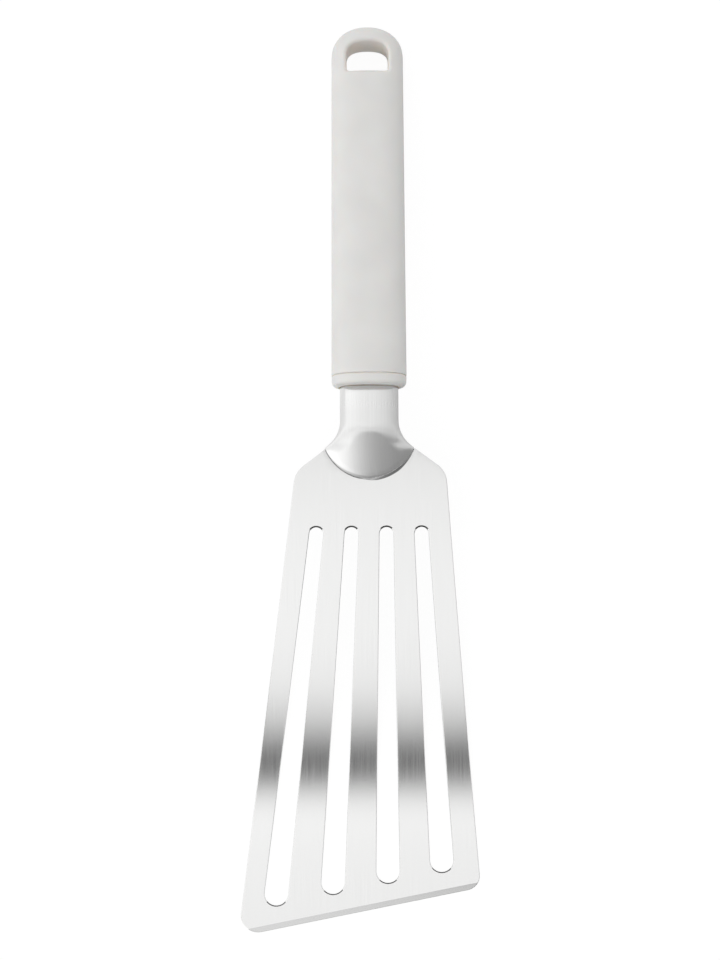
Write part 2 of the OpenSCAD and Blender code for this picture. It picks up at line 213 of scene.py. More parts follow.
# Painted shade on the dome's rim wall: where it starts and where it is whole, in millimetres from the
# dome's middle, and how much less it is away from the tip
PAINTED_RIM_SHADE_FROM, PAINTED_RIM_SHADE_TO, PAINTED_RIM_SHADE_LEAN = DOME_R - 1.3, DOME_R - 0.8, 0.09
BLOTCH = 12.0
SCATTER_REACH, SCATTER_TONES = 2.0, (1.0, 0.5, 0.3)
# Painted shade tint in the handle's hollows: how far it looks for cover, in millimetres, and its warm
# tone
HOLLOW_SHADE_REACH = 8.0
HOLLOW_SHADE_TINT = (0.945, 0.835, 0.73, 1)


def bow_z(y, radius=BOW_R):
    """Height of the bowed sheet's face that has a radius about the bow's axis."""
    return BOW_R - np.sqrt(radius**2 - y * y)


def heel_y(x):
    """The shoulders' sloping line, at a distance from the handle's line."""
    return SHOULDER_Y + (x - NECK_W / 2) / math.tan(SHOULDER_ANGLE)


# The handle's tilt and the place of its mouth, as in the CAD source
TILT = (math.asin(bow_z(HEEL_RUN) / math.hypot(CONTACT_L, CONTACT_H))
        - math.atan2(CONTACT_H, CONTACT_L))
COS, SIN = math.cos(TILT), math.sin(TILT)
MOUTH = np.array([
    0,
    HEEL_RUN + NECK_L * COS + NECK_H / 2 * SIN,
    bow_z(HEEL_RUN) - NECK_L * SIN + NECK_H / 2 * COS,
])
TO_AXIS = np.array([[1, 0, 0], [0, COS, -SIN], [0, SIN, COS]])
BOW_MID = (
    -MOUTH[1] * COS - (BOW_R - MOUTH[2]) * SIN,
    -MOUTH[1] * SIN + (BOW_R - MOUTH[2]) * COS,
)
FLARE_Y = (
    heel_y((HEEL_LEFT + HEEL_RIGHT) / 2) + FLARE_R * math.tan(SHOULDER_ANGLE / 2) - MOUTH[1]
) / COS + NECK_H / 2 * math.tan(TILT)

# The front edge: its direction, the way into the sheet, and its place on the handle's line
FRONT_DIR = np.array([math.cos(FRONT_SLANT), math.sin(FRONT_SLANT)])
FRONT_ACROSS = np.array([-math.sin(FRONT_SLANT), math.cos(FRONT_SLANT)])
FRONT_MID = np.array([0, -FRONT_RUN])


def from_handle(points):
    """Points of the handle's frame in the axis frame."""
    return np.asarray(points) @ TO_AXIS + MOUTH


def bow_in_handle(y, radius):
    """Height, in the handle's frame, of a radius about the bow's axis."""
    return BOW_MID[1] - np.sqrt(radius**2 - (y - BOW_MID[0])**2)


def unit(v):
    """Vectors of length 1 with the same directions."""
    return v / np.linalg.norm(v, axis=-1, keepdims=True)


# Outlines in the plane


def arc_corner(a, b, c, radius):
    """Points of the arc that rounds the corner b between a and c."""
    u, v = unit(a - b), unit(c - b)
    half = math.acos(u @ v) / 2
    mid = b + unit(u + v) * radius / math.sin(half)
    start = b + u * radius / math.tan(half) - mid
    sweep = (2 * half - math.pi) * math.copysign(1, u[0] * v[1] - u[1] * v[0])
    turns = np.linspace(0, sweep, max(6, math.ceil(abs(sweep) * radius / ARC_STEP)))
    return [mid + np.array([
        start[0] * math.cos(t) - start[1] * math.sin(t),
        start[0] * math.sin(t) + start[1] * math.cos(t),
    ]) for t in turns]


def meet(p, d, q, e):
    """Where the line from p along d meets the line from q along e."""
    return p + d * ((q - p)[0] * e[1] - (q - p)[1] * e[0]) / (d[0] * e[1] - d[1] * e[0])


def dense(loop):
    """A closed loop with points added so that no side is longer than the outline's step."""
    out = []
    for a, b in zip(loop, np.roll(loop, -1, axis=0)):
        n = max(1, math.ceil(np.linalg.norm(b - a) / OUTLINE_STEP))
        out += [a + (b - a) * k / n for k in range(n)]
    return np.array(out)


def inward(loop):
    """At each point of a loop, the way into the sheet on its left and how far the corner reaches."""
    before = unit(loop - np.roll(loop, 1, axis=0))
    after = unit(np.roll(loop, -1, axis=0) - loop)
    left = [np.stack([-d[:, 1], d[:, 0]], axis=1) for d in (before, after)]
    middle = unit(left[0] + left[1])
    return middle, 1 / np.clip((middle * left[0]).sum(axis=1), MITRE_LEAST, 1)


def inside(points, loops):
    """Whether each point lies inside an odd number of the loops."""
    odd = np.zeros(len(points), bool)
    x, y = points[:, :1], points[:, 1:]
    for loop in loops:
        a, b = loop, np.roll(loop, -1, axis=0)
        spans = (a[:, 1] > y) != (b[:, 1] > y)
        with np.errstate(divide="ignore", invalid="ignore"):
            cross = a[:, 0] + (y - a[:, 1]) * (b[:, 0] - a[:, 0]) / (b[:, 1] - a[:, 1])
        odd ^= (np.logical_and(spans, x < cross).sum(axis=1) % 2).astype(bool)
    return odd


def notch_line():
    """The heel's notch round the dome, from the right to the left, on the sheet's middle."""
    radius = DOME_R + NOTCH_GAP
    turns = np.linspace(math.pi / 2, -math.pi / 2, math.ceil(math.pi * radius / ARC_STEP))
    y = DOME_Y - radius * np.cos(turns)
    z = bow_in_handle(y, BOW_R - BLADE_T / 2)
    return from_handle(np.stack([radius * np.sin(turns), y, z], axis=1))[:, :2]


def blade_loop():
    """The blade's outline seen from above, counterclockwise from the left end of its notch."""
    left, right = np.array([-HEEL_LEFT, SHOULDER_Y]), np.array([HEEL_RIGHT, SHOULDER_Y])
    neck_left = np.array([-NECK_W / 2, heel_y(HEEL_LEFT)])
    neck_right = np.array([NECK_W / 2, heel_y(HEEL_RIGHT)])
    front_left = meet(left, left - [-LOW_LEFT, 0], FRONT_MID, FRONT_DIR)
    front_right = meet(right, right - [LOW_RIGHT, 0], FRONT_MID, FRONT_DIR)
    path = [neck_left, left, front_left, front_right, right, neck_right]
    notch = notch_line()
    notch = notch[inside(notch, [np.array(path)])]
    return dense(np.array(
        arc_corner(neck_left, left, front_left, SHOULDER_R)
        + arc_corner(left, front_left, front_right, FRONT_LEFT_R)
        + arc_corner(front_left, front_right, right, FRONT_RIGHT_R)
        + arc_corner(front_right, right, neck_right, SHOULDER_R)
        + list(notch)
    ))


def slot_loop(angle):
    """One slot's outline, clockwise, so that the sheet is on its left too."""
    down = np.array([math.sin(angle), -math.cos(angle)])
    across = np.array([math.cos(angle), math.sin(angle)])
    start = (FAN[1] - HEEL_RUN + SLOT_DROP + SLOT_NARROW_R) / math.cos(angle)
    end = (FAN[1] + FRONT_RUN - FAN[0] * math.tan(FRONT_SLANT)
           - (SLOT_MARGIN + SLOT_WIDE_R) / math.cos(FRONT_SLANT)
           ) / (math.cos(angle) + math.sin(angle) * math.tan(FRONT_SLANT))
    turns = np.linspace(0, math.pi, 17)[:, None]
    top = FAN + down * start - SLOT_NARROW_R * (across * np.cos(turns) + down * np.sin(turns))
    bottom = FAN + down * end + SLOT_WIDE_R * (across * np.cos(turns) + down * np.sin(turns))
    return dense(np.concatenate([top, bottom]))


# Meshes

# The origin of the axis frame in the part's frame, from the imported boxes
GRIP_LOW, GRIP_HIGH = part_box("grip")
ORIGIN = np.array([
    (GRIP_LOW.x + GRIP_HIGH.x) / 2 / MM,
    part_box("blade")[0].y / MM - blade_loop()[:, 1].min(),
    0,
])


def in_metres(points):
    """Points of the axis frame in the part's own frame."""
    return (np.asarray(points) + ORIGIN) * MM


def in_scene(name, data):
    """A new object in the scene."""
    made = bpy.data.objects.new(name, data)
    bpy.context.scene.collection.objects.link(made)
    return made


def make_piece(name, node, material, points, faces,
               normals=None, uvs=None, more=(), finish=None):
    """A smooth mesh that stands for a CAD node.

    Normals and UVs go face corner by corner. Finish is each face's place among the materials.
    """
    mesh = bpy.data.meshes.new(name)
    mesh.from_pydata(in_metres(points).tolist(), [], [list(map(int, f)) for f in faces])
    mesh.polygons.foreach_set("use_smooth", [True] * len(mesh.polygons))
    if uvs is not None:
        mesh.uv_layers.new(name="brush").data.foreach_set("uv", np.asarray(uvs, float).ravel())
    if normals is not None:
        mesh.normals_split_custom_set(normals.tolist())
    for made in (material, *more):
        mesh.materials.append(made)
    if finish is not None:
        mesh.polygons.foreach_set("material_index", finish)
    piece = in_scene(name, mesh)
    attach(piece, "root")
    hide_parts(node)
    return piece


# The blade


def behind_front(xy):
    """Distance from the front edge into the sheet."""
    return (xy - FRONT_MID) @ FRONT_ACROSS


def blade_thickness(xy):
    """The sheet's thickness, which the bevel takes down towards the front edge."""
    return BLADE_T - np.clip(BEVEL_W - behind_front(xy), 0, BEVEL_W) * (BLADE_T - EDGE_T) / BEVEL_W


def blade_top(xy, thickness):
    """Height of the sheet's top face where the sheet has some thickness."""
    return bow_z(xy[:, 1], BOW_R - BLADE_T) - (BLADE_T - thickness)


def edge_levels(rim, ways, across, radius):
    """Lines of the rounded edge, from the top face round to the underside."""
    thickness = blade_thickness(rim)
    levels = []
    for k, a in enumerate(EDGE_RISE):
        xy = rim + ways * (across * (1 - math.cos(a)))[:, None]
        drop = radius * (1 - abs(math.sin(a)))
        upper = k < len(EDGE_RISE) / 2
        z = blade_top(xy, thickness) - drop if upper else bow_z(xy[:, 1]) + drop
        levels.append(np.column_stack([xy, z]))
    return levels


def following(loops):
    """For each point of all the loops, the number of the point after it."""
    starts = np.cumsum([0] + [len(loop) for loop in loops])
    return np.concatenate([
        start + np.roll(np.arange(len(loop)), -1) for start, loop in zip(starts, loops)
    ])


def free_points(rim, loops):
    """A grid over the sheet that keeps clear of its edges and of the bevel's crease."""
    low, high = rim.min(axis=0), rim.max(axis=0)
    grid = np.stack(np.meshgrid(
        np.arange(low[0], high[0], SHEET_STEP), np.arange(low[1], high[1], SHEET_STEP)
    ), axis=-1).reshape(-1, 2)
    grid = grid[inside(grid, loops)]
    gap = np.array([np.abs(rim - p).max(axis=1).min() for p in grid])
    return grid[(gap > SHEET_GAP) & (np.abs(behind_front(grid) - BEVEL_W) > CREASE_GAP)]


def crease_line(outer):
    """The bevel's crease: its free points, and its two ends on the outline."""
    off_crease = np.abs(behind_front(outer) - BEVEL_W)
    ends = [
        min((i for i in range(len(outer)) if (outer[i, 0] < 0) == on_left),
            key=lambda i: off_crease[i])
        for on_left in (True, False)
    ]
    places = np.arange(
        outer[ends[0], 0] + CREASE_INSET, outer[ends[1], 0] - CREASE_INSET, OUTLINE_STEP)
    crease = np.array([FRONT_MID + FRONT_ACROSS * BEVEL_W + FRONT_DIR * x / FRONT_DIR[0]
                       for x in places - FRONT_ACROSS[0] * BEVEL_W])
    return crease, ends


def within_sheet(triangles, origins, rim_sides, first_free):
    """The triangles that can be reached from a free point without crossing the rim."""
    at = {o: i for i, given in enumerate(origins) for o in given}
    rim = {frozenset((at[a], at[b])) for a, b in rim_sides}
    sharing = {}
    for i, corners in enumerate(triangles.tolist()):
        for side in zip(corners, corners[1:] + corners[:1]):
            sharing.setdefault(frozenset(side), []).append(i)
    free = {i for i, given in enumerate(origins) if given and min(given) >= first_free}
    todo = [i for i, corners in enumerate(triangles.tolist()) if free & set(corners)]
    found = set(todo)
    while todo:
        corners = triangles[todo.pop()].tolist()
        for side in map(frozenset, zip(corners, corners[1:] + corners[:1])):
            if side not in rim:
                more = [i for i in sharing[side] if i not in found]
                found.update(more)
                todo += more
    return sorted(found)


def sheet_triangles(inner, loops):
    """The sheet in the plane: its points, its triangles and the given points that each point is."""
    n = len(inner)
    crease, ends = crease_line(inner[:len(loops[0])])
    flat = np.concatenate([inner, crease, free_points(np.concatenate(loops), loops)])
    sides = list(enumerate(following(loops).tolist()))
    line = [ends[0]] + list(range(n, n + len(crease))) + [ends[1]]
    sides += list(zip(line, line[1:]))
    placed, _, triangles, origins, _, _ = delaunay_2d_cdt(flat.tolist(), sides, [], 0, SAME_POINT)
    placed = np.array([p[:] for p in placed])
    triangles = np.array([t[:] for t in triangles])
    return placed, triangles[within_sheet(triangles, origins, sides[:n], n + len(crease))], origins


def blade_corners(points, faces, levels, ways, below, bevelled):
    """Normal and UV of each face corner.

    The normal is the bow's own, tipped over the bevel and round the edges. The UV is the place in the
    plane, and round the edges the way along them too.
    """
    n = len(ways)
    corners = np.concatenate([np.array(f) for f in faces])
    owner = np.repeat(np.arange(len(faces)), [len(f) for f in faces])
    flat = owner >= (len(levels) - 1) * n
    y = points[corners, 1]
    slope = np.column_stack([np.zeros(len(y)), y / np.sqrt(BOW_R**2 - y * y)])
    slope[bevelled[owner]] += FRONT_ACROSS * (BLADE_T - EDGE_T) / BEVEL_W
    face_normal = unit(np.column_stack([-slope, np.ones(len(y))]))
    face_normal[below[owner]] *= -1
    level = np.where(corners < len(levels) * n, corners // n, 0)
    angle = np.where(flat, math.pi / 2, np.abs(EDGE_RISE[level]))
    way = -ways[corners % n]
    outward = unit(np.column_stack([way, (way * slope).sum(axis=1)]))
    normals = unit(face_normal * np.sin(angle)[:, None] + outward * np.cos(angle)[:, None])
    walk = np.concatenate([[0], np.cumsum([
        np.linalg.norm(b - a, axis=1).mean() for a, b in zip(levels, levels[1:])
    ])])
    uvs = points[corners, :2].copy()
    uvs[~flat] += way[~flat] * walk[level[~flat]][:, None]
    return normals, uvs


def build_blade(material, slot_end_shade_steel, ground_steel):
    """The bowed sheet with rounded edges, four slots and the bevel along its front edge; the edges at
    its slots' ends take a near-black steel as painted shade.
    """
    loops = [blade_loop()] + [
        slot_loop(FAN_STEP * (k - (SLOT_COUNT - 1) / 2) - FAN_TURN) for k in range(SLOT_COUNT)
    ]
    rim = np.concatenate(loops)
    ways, reach = map(np.concatenate, zip(*(inward(loop) for loop in loops)))
    n = len(rim)
    notch = notch_line()
    by_notch = np.array([np.linalg.norm(notch - p, axis=1).min() < NOTCH_NEAR for p in rim])
    radius = np.where(by_notch, NOTCH_R, np.minimum(EDGE_R, blade_thickness(rim) / 3))
    # The slots' ends: one side is rounded wider, and their edges are painted near-black as painted
    # shade
    slot_ends = (np.arange(n) >= len(loops[0])) & (np.abs(ways[:, 1]) > SHEARED_FROM)
    across = np.where(slot_ends & (ways[:, 1] > 0), SHEARED_W, radius) * reach

    levels = edge_levels(rim, ways, across, radius)
    points = np.concatenate(levels)
    here, there = np.arange(n), following(loops)
    quads = np.column_stack([here, here + n, there + n, there])
    faces = np.concatenate([quads + k * n for k in range(len(levels) - 1)]).tolist()
    edge_count = len(faces)

    # The top face and the underside meet the edge in its first and last lines
    placed, triangles, origins = sheet_triangles(rim + ways * across[:, None], loops)
    below = []
    for lower in (False, True):
        line = edge_count * lower
        first = len(points)
        names = np.array([
            line + o[0] if o and o[0] < n else first + i for i, o in enumerate(origins)
        ])
        z = bow_z(placed[:, 1]) if lower else blade_top(placed, blade_thickness(placed))
        points = np.concatenate([points, np.column_stack([placed, z])])
        made = names[triangles]
        faces += (made[:, ::-1] if lower else made).tolist()
        below += [lower] * len(made)

    centre = np.array([points[f].mean(axis=0) for f in faces])
    middle = bow_z(centre[:, 1]) + blade_thickness(centre[:, :2]) / 2
    below = np.concatenate([(centre[:, 2] < middle)[:edge_count], below])
    bevelled = (behind_front(centre[:, :2]) < BEVEL_W) & ~below
    finish = np.zeros(len(faces), int)
    # Painted shade: the edges at the slots' ends take the near-black steel
    finish[:edge_count] = np.tile(slot_ends & slot_ends[there], len(levels) - 1)
    finish[bevelled] = 2
    normals, uvs = blade_corners(points, faces, levels, ways, below, bevelled)
    return make_piece("blade_sheet", "blade", material, points, faces,
                      normals=normals, uvs=uvs, more=(slot_end_shade_steel, ground_steel), finish=finish)


# The neck's skin


def flare(y):
    """Half width of the neck, which flares out into the shoulders."""
    run = np.maximum(0, FLARE_Y - y)
    turn = FLARE_R * math.sin(SHOULDER_ANGLE)
    curve = FLARE_R - np.sqrt(np.maximum(0, FLARE_R**2 - run * run))
    slant = FLARE_R * (1 - math.cos(SHOULDER_ANGLE)) + (run - turn) * math.tan(SHOULDER_ANGLE)
    return NECK_W / 2 + np.where(run < turn, curve, slant)


def skin_width(y, inset):
    """Half width of the skin at a place along the handle's line."""
    rim = np.sqrt(np.maximum(0, (DOME_R - inset)**2 - np.maximum(0, DOME_Y - y)**2))
    past = np.clip((y - NECK_SEAT + TANG_TAPER) / TANG_TAPER, 0, 1)
    tang = np.where(past > 0, NECK_W + (TANG_W - NECK_W) * past, 2 * NECK_W) / 2
    return np.minimum(np.minimum(tang, flare(y) - inset), rim)


def below_bow(r, turn, depth):
    """A point round the dome's middle, at a depth below the blade's underside."""
    y = DOME_Y - r * math.cos(turn)
    return [r * math.sin(turn), y, bow_in_handle(y, BOW_R + depth)]


def arch(x, half, height, power=NECK_POWER):
    """Height of an arched section over the handle's line."""
    return height * np.maximum(0, 1 - np.abs(x / half)**power)**(1 / power) - NECK_H / 2


def bend(a, b, length):
    """The lower of two heights, with the turn from one to the other rounded over a length."""
    near = np.maximum(0, length - np.abs(a - b)) / length
    return np.minimum(a, b) - near * near * length / 4


def smooth(share):
    """A share from 0 to 1 that starts and ends level."""
    return share * share * (3 - 2 * share)


def cap(x, y):
    """Height of the dome over the blade, before its rim is rounded."""
    return CAP_H - x * x / (2 * CAP_ACROSS_R) - (y - CAP_Y)**2 / (2 * CAP_ALONG_R)


def skin_height(x, y, inset):
    """Height of the skin: the neck's arch and flared skirt, then the dome with its rounded rim."""
    spread_out = flare(y) - NECK_W / 2
    share = np.clip(spread_out / FLARE_FULL, 0, 1)
    power = NECK_POWER + (CORE_POWER - NECK_POWER) * share
    dip = np.where(y < NECK_SEAT, DIP * np.clip(1 + y / DIP_L, 0, 1), 0)
    core = arch(x, NECK_W / 2 - inset, NECK_H - inset - dip, power)
    skirt = arch(x, flare(y) - inset, NECK_H + (SKIRT_H - NECK_H) * share - inset - dip)
    neck = -bend(-core, -skirt, SKIRT_BLEND * share + LEAST_BLEND)
    out = np.hypot(x, np.minimum(0, y - DOME_Y))
    to_rim = 1 - np.clip((DOME_R - inset - out) / WALL_W, 0, 1)
    dome = cap(x, y) * np.sqrt(1 - to_rim**2) - WALL_FOOT * to_rim**FOOT_POWER
    aside = smooth(np.minimum(1, np.abs(x) / CROWN_SIDE_X))
    soft = CROWN_BLEND + (CROWN_SIDE - CROWN_BLEND) * aside
    return bend(neck, bow_in_handle(y, BOW_R - BLADE_T) + dome - inset, soft)


def grid_faces(rows, columns, first=0):
    """Quads between the rows of closed loops."""
    i, k = np.meshgrid(np.arange(rows - 1), np.arange(columns), indexing="ij")
    a, b = i * columns + k, i * columns + (k + 1) % columns
    return (first + np.stack([b, b + columns, a + columns, a], axis=-1).reshape(-1, 4)).tolist()


def loop_uvs(points, rows, columns):
    """UVs for loops along y: u is the way round the loop, v is the place of the loop."""
    grid = points.reshape(rows, columns, 3)
    round_step = np.linalg.norm(np.roll(grid, -1, axis=1) - grid, axis=2)
    across = np.concatenate([np.zeros((rows, 1)), np.cumsum(round_step, axis=1)], axis=1)
    across -= across[:, columns // 4:columns // 4 + 1]
    along = np.concatenate([grid[:, :, 1], grid[:, :1, 1]], axis=1)
    return np.stack([across, along], axis=-1)


def skin_loops():
    """Loops round the pressed skin and its rounded rim, from the tang's end to the dome's tip."""
    theta = np.linspace(math.pi / 2, -math.pi / 2, SKIN_STEPS)
    rows = np.concatenate([
        [TANG_L, (TANG_L + NECK_SEAT) / 2, NECK_SEAT, NECK_SEAT - TANG_TAPER],
        np.linspace(NECK_SEAT - TANG_TAPER, DOME_Y, NECK_STEPS)[1:-1],
        DOME_Y - DOME_R * np.sin(np.linspace(0, math.asin(DOME_TIP), DOME_STEPS)),
    ])
    loops = []
    for y in rows:
        inner_y = y if y >= DOME_Y else DOME_Y + (y - DOME_Y) * (DOME_R - NECK_T) / DOME_R
        skins = []
        for depth, at in ((0, y), (NECK_T, inner_y)):
            x = skin_width(at, depth) * np.sin(theta)
            skins.append(np.column_stack([x, np.full(len(x), at), skin_height(x, at, depth)]))
        outer, inner = skins[0], skins[1][::-1]
        rims = [
            [a + (b - a) * (1 - math.cos(t)) / 2 - np.array([0, 0, RIM_R]) * math.sin(t)
             for t in RIM_TURNS]
            for a, b in ((outer[-1], inner[0]), (inner[-1], outer[0]))
        ]
        loops.append(np.concatenate([outer, rims[0], inner, rims[1]]))
    return loops


def skin_mesh(loops):
    """Points, faces and UVs of the skin, whose two ends are closed by strips."""
    rows, columns = len(loops), len(loops[0])
    points = np.concatenate(loops)
    faces = grid_faces(rows, columns)
    uv = loop_uvs(points, rows, columns)
    uvs = [
        tuple(uv[place]) for i in range(rows - 1) for k in range(columns)
        for place in ((i, k + 1), (i + 1, k + 1), (i + 1, k), (i, k))
    ]
    far = 2 * SKIN_STEPS + len(RIM_TURNS) - 1
    ends = [(k, k + 1, far - k - 1, far - k) for k in range(SKIN_STEPS - 1)]
    ends += [range(SKIN_STEPS - 1, SKIN_STEPS + len(RIM_TURNS) + 1), [*range(far, columns), 0]]
    for row, turned in ((0, True), (rows - 1, False)):
        for end in ends:
            face = [row * columns + c for c in end]
            faces.append(face[::-1] if turned else face)
            uvs += [(points[c, 0], points[c, 2]) for c in faces[-1]]
    return from_handle(points), faces, uvs


def build_neck(material, shaded_fillet_steel):
    """The pressed skin, its weld flange under the blade and the fillet at the dome's foot, whose
    darker copy of the steel is painted shade.
    """
    points, faces, uvs = skin_mesh(skin_loops())
    for rings in (flange_rings(), brim_rings()):
        before_ring = len(faces)
        ring_points, ring_faces, ring_uvs = swept(rings, len(points))
        points = np.concatenate([points, ring_points])
        faces += ring_faces
        uvs += ring_uvs
    finish = (np.arange(len(faces)) >= before_ring).astype(int)
    return make_piece("neck_pressing", "neck", material, points, faces, uvs=uvs,
                      more=(shaded_fillet_steel,), finish=finish)


def flange_rings():
    """The flange that carries the spot welds under the blade, as loops round its section."""
    start_r = DOME_R - NECK_T + FLANGE_SEAT
    lowest = WELD_GAP + NECK_T
    loops = []
    for turn in np.linspace(-RIM_HALF, RIM_HALF, FLANGE_STEPS):
        to_shoulder = math.cos(SHOULDER_ANGLE + abs(turn))
        end_r = DOME_R + FLANGE_W
        if to_shoulder < 0:
            end_r = min(end_r, SHOULDER_REACH / -to_shoulder)
        edge_r, root_r = end_r - FLANGE_EDGE, start_r + FLANGE_ROOT_R
        section = [(r, WELD_GAP) for r in np.linspace(start_r, edge_r, 6)]
        section += [
            (edge_r + FLANGE_EDGE * math.cos(a), WELD_GAP + NECK_T / 2 * (1 - math.sin(a)))
            for a in np.radians([60, 30, 0, -30, -60])
        ]
        section += [(r, lowest) for r in np.linspace(edge_r, root_r, 14)]
        section += [
            (root_r - FLANGE_ROOT_R * math.sin(a), lowest - FLANGE_ROOT_R * (1 - math.cos(a)))
            for a in np.radians([20, 45, 70, 90])
        ]
        ring = []
        for r, depth in section:
            away = min(math.hypot(r * math.cos(turn - s) - SPOT_AT, r * math.sin(turn - s))
                       for s in SPOT_TURNS)
            if depth > NECK_T and away < SPOT_R:
                depth -= SPOT_DEPTH * (0.5 + 0.5 * math.cos(math.pi * away / SPOT_R))
            ring.append(below_bow(r, turn, depth))
        loops.append(ring)
    return loops


def brim_rings():
    """The ground fillet at the dome's foot, fuller on the right, as loops round its section."""
    loops = []
    for turn in np.linspace(-RIM_HALF, RIM_HALF, BRIM_STEPS):
        rise = min(1, max(0, (turn - BRIM_FROM) / (BRIM_FULL - BRIM_FROM)))
        share = max(BRIM_LEAST, min(smooth(rise), (RIM_HALF - turn) / BRIM_FADE))
        start_r, end_r = DOME_R - BRIM_IN * share, DOME_R + BRIM_OUT * share
        dome = cap(start_r * math.sin(turn), DOME_Y - start_r * math.cos(turn))
        top = dome * math.sqrt(1 - (1 - BRIM_IN * share / WALL_W)**2) - BRIM_DROP * share
        section = [(start_r, BRIM_SEAT)] + [
            (start_r + (end_r - start_r) * u, BRIM_LIFT + top * (1 - u)**BRIM_POWER)
            for u in np.linspace(0, 1, 11)
        ] + [(end_r, BRIM_SEAT)]
        loops.append([below_bow(r, turn, -BLADE_T - height) for r, height in section])
    return loops


def swept(loops, first):
    """A closed mesh through loops in the handle's frame: its points, faces and UVs."""
    rows, columns = len(loops), len(loops[0])
    points = np.array(loops).reshape(-1, 3)
    faces = grid_faces(rows, columns, first)
    faces.append([first + k for k in range(columns)][::-1])
    faces.append([first + (rows - 1) * columns + k for k in range(columns)])
    flat = from_handle(points)
    uvs = [(flat[c - first, 0] + flat[c - first, 2], flat[c - first, 1]) for f in faces for c in f]
    return flat, faces, uvs


# Surfaces of the handle, as fields that are negative inside


def round_max(a, b, radius):
    """What both fields hold, with its edge rounded."""
    return np.minimum(-radius, np.maximum(a, b)) + np.hypot(
        np.maximum(a + radius, 0), np.maximum(b + radius, 0))


def evened(value, p, step=0.01):
    """A field divided by its own slope, which is near to a distance in millimetres."""
    slope = 0
    for axis in range(len(p)):
        ahead, back = (
            [q + way * step * (i == axis) for i, q in enumerate(p)] for way in (1, -1))
        slope = slope + ((value(*ahead) - value(*back)) / (2 * step))**2
    return value(*p) / np.sqrt(slope + LEAST_SLOPE)


def oval(u, v, power):
    """The field of a rounded outline, for places as shares of its half sizes."""
    return (np.abs(u)**power + np.abs(v)**power)**(1 / power) - 1


def half_sizes(y):
    """Half width and half height of the handle's body at a distance from its mouth."""
    return ((a + (b - a) * y / HANDLE_L) / 2 for a, b in ((MOUTH_W, BUTT_W), (MOUTH_H, BUTT_H)))


def handle_field(x, y, z):
    """The handle's body: a rounded section that closes over the butt."""
    def raw(x, y, z):
        past = np.minimum(TIP_SHARE, np.maximum(0, y - HANDLE_L + BUTT_L) / BUTT_L)
        half_w, half_h = half_sizes(y)
        half_w = half_w * (1 - past**ARCH_POWER)**(1 / ARCH_POWER)
        half_h = half_h * (1 - past**ROUND_POWER)**(1 / ROUND_POWER)
        return oval(x / half_w, z / half_h, SECTION_POWER)
    return round_max(evened(raw, (x, y, z)), y - HANDLE_L + TIP_GAP, TIP_R)


def section_field(x, y, z, inset):
    """The straight part of the handle's body, drawn in by an inset."""
    half_w, half_h = half_sizes(y)
    return evened(
        lambda x, z: oval(x / (half_w - inset), z / (half_h - inset), SECTION_POWER), (x, z))


def hole_field(x, y):
    """The hang hole: square towards the mouth, arched towards the butt."""
    half, side = HOLE_W / 2, HOLE_END - HOLE_ARCH
    arched = evened(lambda x, y: oval(x / half, (y - side) / HOLE_ARCH, ARCH_POWER), (x, y))
    box = round_max(np.abs(x) - half, HOLE_END - HOLE_L - y, HOLE_CORNER_R)
    return np.where(y > side, arched, box)


def grip_field(x, y, z):
    """The grip: the handle's body behind the collar, with its hollow and its hang hole."""
    body = round_max(handle_field(x, y, z), COLLAR_L - y, GROOVE_R)
    hollow = round_max(section_field(x, y, z, WALL), y - HOLLOW_L, HOLLOW_R)
    body = round_max(body, -hollow, GROOVE_R)
    return round_max(body, -hole_field(x, y), HOLE_EDGE_R)


def sheet_slot_field(x, z, half):
    """The slot for the neck's arched sheet, of some half width."""
    def arched(half_w, height):
        return evened(lambda x, z: oval(
            x / half_w, np.maximum(0, z + NECK_H / 2) / height, NECK_POWER), (x, z))
    outer = arched(NECK_W / 2 + FIT, NECK_H + FIT)
    inner = arched(NECK_W / 2 - NECK_T - FIT, NECK_H - NECK_T - FIT)
    sides = np.maximum(np.abs(x) - half, -NECK_H / 2 - RIM_R - FIT - z)
    return np.maximum(np.maximum(outer, -inner), sides)


def collar_field(x, y, z):
    """The collar: a drafted ring with a groove behind it, its spigot and the slot for the neck."""
    skin = section_field(x, y, z, COLLAR_DRAFT * (1 - y / COLLAR_L))
    aside = np.minimum(1, np.abs(2 * x / MOUTH_W))**NOSE_POWER
    nose_r = COLLAR_TOP_R + (COLLAR_R - COLLAR_TOP_R) * aside
    lip = round_max(round_max(skin, -y, nose_r), y - COLLAR_L + GROOVE_W, GROOVE_R)
    core = np.maximum(np.maximum(skin + GROOVE_D, y - COLLAR_L), CORE_FROM - y)
    spigot = section_field(x, y, z, WALL + FIT)
    spigot = np.maximum(round_max(spigot, y - COLLAR_L - SPIGOT_L, SPIGOT_R), CORE_FROM - y)
    solid = np.minimum(np.minimum(lip, core), spigot)
    gap = MOUTH_GAP * np.clip(1 - y / MOUTH_GAP_L, 0, 1)
    wide = np.maximum(sheet_slot_field(x, z, NECK_W / 2 + FIT) - gap, y - NECK_SEAT - FIT)
    narrow = sheet_slot_field(x, z, TANG_W / 2 + FIT)
    return round_max(solid, -np.minimum(wide, narrow), MOUTH_EDGE_R)


def slope_of(field, p, step=0.02):
    """The field's slope at each point."""
    steps = np.eye(3) * step
    return np.stack([(field(*(p + s).T) - field(*(p - s).T)) / (2 * step) for s in steps], axis=1)


